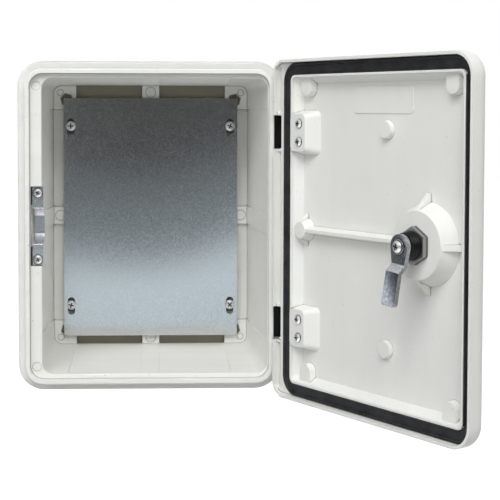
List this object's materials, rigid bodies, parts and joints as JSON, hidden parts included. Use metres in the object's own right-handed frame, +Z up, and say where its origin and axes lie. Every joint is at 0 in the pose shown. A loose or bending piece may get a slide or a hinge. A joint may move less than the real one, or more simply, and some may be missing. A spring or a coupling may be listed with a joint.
{
  "type": "electrical enclosure",
  "caption": "Moulded wall enclosure with a hinged, gasketed door, a quarter-turn cam lock that swings behind a strike plate, and a sheet-steel mounting plate.",
  "frame": {"origin": "middle of the flat back face that goes against the wall", "axes": "+X to the right seen from the front, +Y into the wall, +Z up"},
  "size_m": [0.3807, 0.376, 0.3088],
  "materials": {
    "moulding": "satin moulded",
    "galvanised_sheet": "galvanised sheet",
    "zinc_hardware": "zinc plated",
    "nut_steel": "dull plated",
    "insert_brass": "dull",
    "seal_rubber": "matte",
    "hinge_black": "black coated"
  },
  "bodies": {
    "enclosure": {"body": "moulding", "mounting_plate": "galvanised_sheet", "plate_screws": "zinc_hardware", "plate_inserts": "insert_brass", "corner_inserts": "insert_brass", "strike_plate": "zinc_hardware", "strike_screws": "zinc_hardware", "hinge_bracket_upper": "hinge_black", "hinge_bracket_lower": "hinge_black", "hinge_bracket_screws": "zinc_hardware", "hinge_pin_upper": "zinc_hardware", "hinge_pin_lower": "zinc_hardware"},
    "door": {"door": "moulding", "door_gasket": "seal_rubber", "hinge_leaf_upper": "hinge_black", "hinge_leaf_lower": "hinge_black", "hinge_leaf_screws": "zinc_hardware", "lock_housing": "hinge_black", "lock_seal": "seal_rubber", "lock_nut": "nut_steel"},
    "latch": {"lock_rotor": "zinc_hardware", "lock_cam": "zinc_hardware", "cam_washer": "zinc_hardware", "cam_screw": "zinc_hardware"}
  },
  "joints": [
    {"name": "door_hinge", "type": "hinge", "parent": "enclosure", "child": "door", "pos_m": [0.1265, -0.156, 0], "axis": [0, 0, 1], "range_deg": [-122, 0]},
    {"name": "lock_turn", "type": "hinge", "parent": "door", "child": "latch", "pos_m": [0.19913, -0.33073, 0.0005], "axis": [-0.848, -0.5299, 0], "range_deg": [0, 94.8]}
  ]
}
